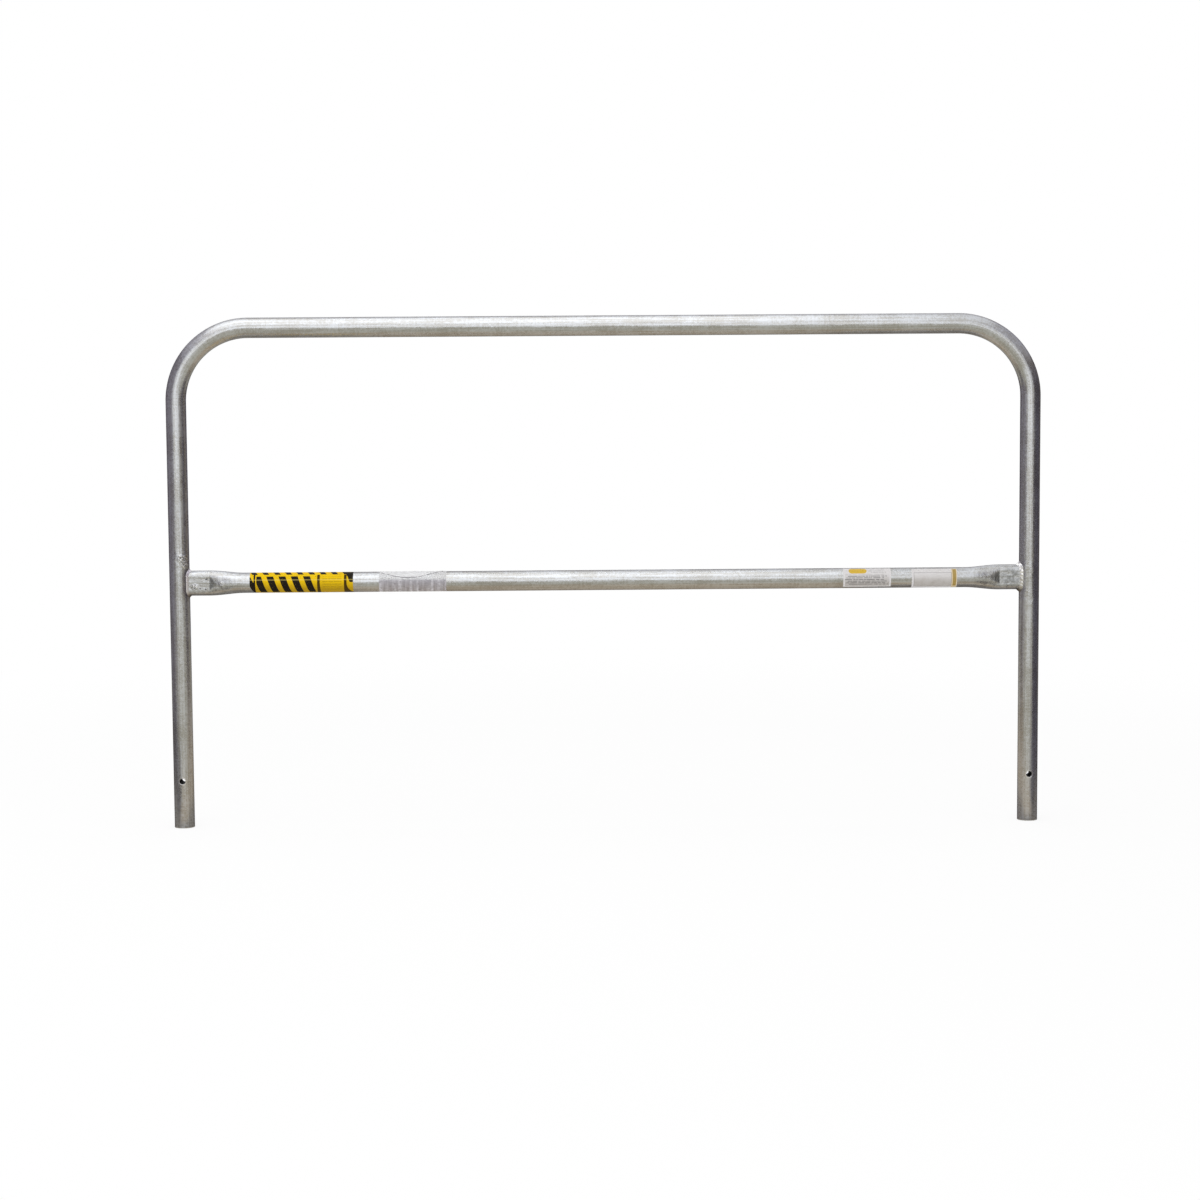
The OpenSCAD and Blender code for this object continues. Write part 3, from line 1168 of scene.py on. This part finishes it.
def film_finish():
    made, shader, start = new_finish("clear film", 0.25)
    along, up = sheet_axes(start)
    place = flat_place(start)
    from_dip = along - DIP_AT
    above_line = up - (from_dip * from_dip * DIP_CURVE + DIP_LOW) + grain(place, 9, 3.0) * 3 - 1.5
    # The loose part is painted white, as painted highlight
    loose = soft_step(above_line, -0.3, 0.5)
    # A dark line of painted shadow under the loose edge
    edge_shadow = band(above_line, -1.5, 0.1, 0.3) * soft_step(grain(place, 6), 0.36, 0.5)
    cloud = grain(place, 7, 4.0)
    upright = grain(place, 5.0, 2.0, (1.0, 0.1, 1.0))
    printed = band(along, *FILM_BARS[0], BAR_EDGE)
    for sides in FILM_BARS[1:]:
        printed = printed.most(band(along, *sides, BAR_EDGE))
    printed = printed * soft_step(cloud, 0.25, 0.6) * 0.8 + soft_step(upright, 0.45, 0.6) * 0.45
    # Painted glints
    glints = soft_step(grain(place, 3.4, 0.0), 0.56, 0.72)
    glints = glints * band(along, *GLINTS_ALONG, 5.0) * band(up, *GLINTS_UP, 2.5)
    # Towards the top the haze thins and the film is painted whiter, as painted light
    clear = soft_step(up, 2, 9)
    # Painted shade: darker towards the bottom
    colour = blend(soft_step(up, -16, 8), FILM_SHADED, FILM_HAZE)
    colour = blend(printed * 0.7, colour, FILM_PRINT)
    colour = blend(loose.most(glints).most(clear * 0.9), colour, FILM_HIGHLIGHT)
    haze = 0.42 + cloud * 0.42 - clear * 0.36 + printed * 0.15
    feed(
        shader,
        Base_Color=blend(edge_shadow, colour, FILM_EDGE_SHADOW),
        Alpha=haze * (1 - loose) + loose * 0.6 + edge_shadow * 0.7 + glints * 0.5,
        Roughness=0.2 + cloud * 0.2,
        Normal=bump(grain(place, 7, 3.0, (1.0, 0.5, 1.0)), 0.4, 0.5),
    )
    return made


dress(film, film_finish())

# %% [markdown]
# ## The white labels
# Both are the same glossy white vinyl, a little grey with handling and painted greyer low down as
# painted shade. One has a yellow bar with round ends and rows of short grey dashes inside a white margin,
# the other a thin frame and an orange strip at its right end. The bar needs no box: a point is inside
# where its distance from a short line is small.

# %% White vinyl
WHITE = (0.69, 0.67, 0.67, 1)
# Grey of handling, and painted shade low down
WHITE_WORN_AND_SHADED = (0.37, 0.34, 0.305, 1)
PRINT_GREY = (0.09, 0.085, 0.09, 1)
PRINT_YELLOW = (0.64, 0.41, 0.022, 1)
PRINT_ORANGE = (0.38, 0.255, 0.06, 1)


def white_finish(name, draw):
    made, shader, start = new_finish(name, 0.3)
    along, up = sheet_axes(start)
    place = flat_place(start)
    worn = soft_step(grain(place, 16, 3.0), 0.45, 0.7)
    # Painted shade: greyer low down
    low = 1 - soft_step(up, -14, 14)
    paper = blend(worn * 0.15 + low * 0.7, WHITE, WHITE_WORN_AND_SHADED)
    feed(
        shader,
        Base_Color=draw(along, up, paper),
        Roughness=0.26 + worn * 0.15,
        Normal=bump(grain(place, 10, 1.0), 0.1, 0.15),
    )
    return made


# %% The ruled label
DASH_ROW, DASH_WIDTH = 3.5, 1.5
DASH_FIELD = (-13.0, 8.5, 8, 90)
FAINT_DASH_FIELD = (13, 24, 54, 86)
RULED_FIELD = (3.5, 96.5, -17.5, 26.5)
PILL_MIDDLE, PILL_HALF, PILL_EDGE = (30.5, 18.2), 12, (44, 54)


def dashes(along, up, first, last, left, right):
    """Rows of short dashes of uneven length."""
    row = (up - first) - (up - first) % DASH_ROW
    broken = grain(flat_place(Wire(up.tree)), 4.0, 0.0, (1.0, 0.6, 1.0))
    ragged = band(along + row * 1.7 % 9, left + 4, right + 4)
    return lines(up, first, last, DASH_ROW, DASH_WIDTH) * ragged * soft_step(broken, 0.34, 0.4)


def draw_ruled(along, up, paper):
    past_end = (abs(along - PILL_MIDDLE[0]) - PILL_HALF).most(0.0)
    from_middle = up - PILL_MIDDLE[1]
    pill = 1 - soft_step(past_end * past_end + from_middle * from_middle, *PILL_EDGE)
    ink = dashes(along, up, *DASH_FIELD).most(dashes(along, up, *FAINT_DASH_FIELD) * 0.4)
    paper = blend(box(along, up, *RULED_FIELD), WHITE, paper)
    return blend(pill, blend(ink * 0.95, paper, PRINT_GREY), PRINT_YELLOW)


dress(ruled, white_finish("ruled white vinyl", draw_ruled))

# %% The plate label
FRAME_OUTER = (4.0, 83.5, -21, 12.5)
FRAME_INNER = (4.9, 82.6, -20.1, 11.6)
UPPER_FIELD = (12.5, 22)
STRIP_GROUND = (83.5, 94.5)
STRIP_INK = (86, 93, -19, 21)


def draw_plate(along, up, paper):
    outer = box(along, up, *FRAME_OUTER)
    inner = box(along, up, *FRAME_INNER)
    paper = blend(outer.most(band(up, *UPPER_FIELD)), WHITE, paper)
    paper = blend((outer - inner) * 0.55, paper, PRINT_GREY)
    paper = blend(band(along, *STRIP_GROUND) * 0.5, paper, PRINT_YELLOW)
    return blend(box(along, up, *STRIP_INK), paper, PRINT_ORANGE)


dress(plate, white_finish("plain white vinyl", draw_plate))

# %% [markdown]
# ## Floor and background
# The photograph has a white background. If white came from more light, the zinc would burn out, so the
# floor and the sky show white only to the rays that look at them: rays from the camera, mirror rays and
# rays through the film. For those rays the floor mixes pure white with its lit paint, which keeps the
# shadow under the feet. Far from the object the floor is all white, so that no horizon shows.

# %% The white sweep
FLOOR_HALF = 30.0
FLOOR_PAINT = (0.95, 0.95, 0.95, 1)
SHADOW_KEPT = 0.14
NEAR, FAR = 1.2, 3.5
SKY_LEVEL = 0.8


def looking_rays(start):
    """1 for camera, mirror and see-through rays."""
    path = start.node("LightPath")
    mirrored = path.output("Is Glossy Ray")
    through = path.output("Is Transmission Ray")
    return path.output("Is Camera Ray").most(mirrored).most(through)


def floor_finish():
    made, shader, start = new_finish("floor paint", 0.9)
    shader.inputs["Base Color"].default_value = FLOOR_PAINT
    shader.inputs["Specular IOR Level"].default_value = 0.0
    place = start.node("NewGeometry")
    reach = start.node("VectorMath", {"operation": "LENGTH"}, {0: place}, out=1)
    share = 1 - (1 - soft_step(reach, NEAR, FAR)) * SHADOW_KEPT
    paint = Wire(start.tree, shader.outputs[0])
    white = start.node("Emission", None, {"Strength": 1.0})
    mixed = start.node("MixShader", None, {0: share * looking_rays(start), 1: paint, 2: white})
    start.tree.links.new(mixed.socket, start.tree.nodes["Material Output"].inputs["Surface"])
    return made


def make_plane(name, centre, across, down, finish):
    """A flat sheet from its centre and two half edges."""
    centre, across, down = Vector(centre), Vector(across), Vector(down)
    signs = ((-1, -1), (1, -1), (1, 1), (-1, 1))
    corners = [centre + across * a + down * b for a, b in signs]
    mesh = bpy.data.meshes.new(name)
    mesh.from_pydata(corners, [], [(0, 1, 2, 3)])
    mesh.materials.append(finish)
    made = bpy.data.objects.new(name, mesh)
    bpy.context.scene.collection.objects.link(made)
    return made


make_plane("floor", (0, 0, 0), (FLOOR_HALF, 0, 0), (0, FLOOR_HALF, 0), floor_finish())

world = bpy.data.worlds.new("white sky")
world.use_nodes = True
sky = Wire(world.node_tree)
sky_light = world.node_tree.nodes["Background"]
sky_light.inputs["Color"].default_value = (1, 1, 1, 1)
feed(sky_light, Strength=SKY_LEVEL + looking_rays(sky) * (1 - SKY_LEVEL))
bpy.context.scene.world = world
print("floor", 2 * FLOOR_HALF, "m wide, sky at", SKY_LEVEL)

# %% [markdown]
# ## Lamps
# Round metal is shaped by what it reflects. Two big soft boxes, one overhead and one behind the camera,
# give the rails their bright upper half and the legs their highlight. An image of a studio could do the
# same, but lamps are easy to move one at a time.

# %% Lamps
def soft_box(name, place, aim, width, height, level):
    """An area lamp whose surface is as bright as level, where 1 is white."""
    lamp = bpy.data.lights.new(name, "AREA")
    lamp.shape = "RECTANGLE"
    lamp.size, lamp.size_y = width, height
    lamp.energy = level * math.pi * width * height
    made = bpy.data.objects.new(name, lamp)
    made.location = place
    made.rotation_euler = (Vector(aim) - Vector(place)).to_track_quat("-Z", "Y").to_euler()
    made.visible_camera = False
    bpy.context.scene.collection.objects.link(made)
    print(name, round(lamp.energy, 1), "W")


soft_box("overhead_box", (-1.0, -1.2, 3.6), (-1.0, -0.4, 0), 3.7, 4.8, 0.75)
soft_box("front_box", (-0.4, -5.6, 2.0), (-0.2, 0, 0.9), 4.0, 2.6, 0.5)

# %% [markdown]
# ## Flags
# A white studio would make the zinc look like chrome, so grey sheets, which a photographer calls flags,
# stand in for a darker room. The floor's flags give the rails their grey lower half, with darker ones at
# the sides and at the feet. Dark ones at the sides make the flanks of the legs, lighter ones above them
# soften the bends, and one close to the right leg makes its dark edge. A low one in front darkens the
# horizon, and one behind gives the other views some contrast. Only mirror rays meet the flags. Those on
# the floor lie in layers, half a millimetre apart.

# %% Flags
FLAG_LIFT = 0.0005


def flag(name, centre, across, down, colour):
    """A sheet of one even tone that only metal sees."""
    made = bpy.data.materials.new(name)
    made.use_nodes = True
    tree = made.node_tree
    card = Wire(tree).node("Emission", None, {"Color": (*colour, 1), "Strength": 1.0})
    tree.links.new(card.socket, tree.nodes["Material Output"].inputs["Surface"])
    sheet = make_plane(name, centre, across, down, made)
    sheet.visible_camera = False
    sheet.visible_diffuse = False
    sheet.visible_shadow = False
    sheet.visible_transmission = False


# Centre, two half edges and tone of each flag
FLAGS = {
    "floor_flag": ((0, 0, FLAG_LIFT), (7, 0, 0), (0, 7, 0), (0.57, 0.55, 0.47)),
    "under_flag": ((0, 0.35, 2 * FLAG_LIFT), (1.0, 0, 0), (0, 0.8, 0), (0.56, 0.48, 0.37)),
    "left_floor_flag": ((-2.1, 0.2, 2 * FLAG_LIFT), (1.1, 0, 0), (0, 0.95, 0), (0.14, 0.13, 0.13)),
    "right_floor_flag": ((2.1, 0.2, 2 * FLAG_LIFT), (1.1, 0, 0), (0, 0.95, 0), (0.14, 0.13, 0.14)),
    "left_foot_flag": ((-1.0, 0.52, 3 * FLAG_LIFT), (0.40, 0, 0), (0, 0.6, 0), (0.29, 0.27, 0.24)),
    "right_foot_flag": ((1.0, 0.52, 3 * FLAG_LIFT), (0.40, 0, 0), (0, 0.6, 0), (0.27, 0.25, 0.23)),
    "front_flag": ((0, -6.9, 0.1), (7, 0, 0), (0, 0, 0.1), (0.36, 0.36, 0.36)),
    "left_flag": ((-3.0, 0.0, 1.2), (0, 3.6, 0), (0, 0, 1.2), (0.25, 0.23, 0.26)),
    "right_flag": ((3.0, -0.4, 0.95), (0, 4.0, 0), (0, 0, 0.95), (0.20, 0.17, 0.15)),
    "right_edge_flag": ((1.5, -0.3, 0.58), (0, 0.6, 0), (0, 0, 0.57), (0.10, 0.09, 0.11)),
    "left_high_flag": ((-3.0, -1.0, 3.3), (0, 4.6, 0), (0, 0, 0.9), (0.58, 0.56, 0.61)),
    "right_high_flag": ((3.0, -1.4, 3.05), (0, 4.6, 0), (0, 0, 1.15), (0.54, 0.53, 0.57)),
    "back_flag": ((0, 3.6, 1.2), (3, 0, 0), (0, 0, 1.2), (0.16, 0.14, 0.17)),
}
for name, sheet in FLAGS.items():
    flag(name, *sheet)
print("flags:", len(FLAGS))

# %% [markdown]
# ## View transform
# Blender's default view softens bright colours. Standard shows each colour as it is written, so white is
# white.

# %% Set the view transform
bpy.context.scene.view_settings.view_transform = "Standard"
print("view transform:", bpy.context.scene.view_settings.view_transform)
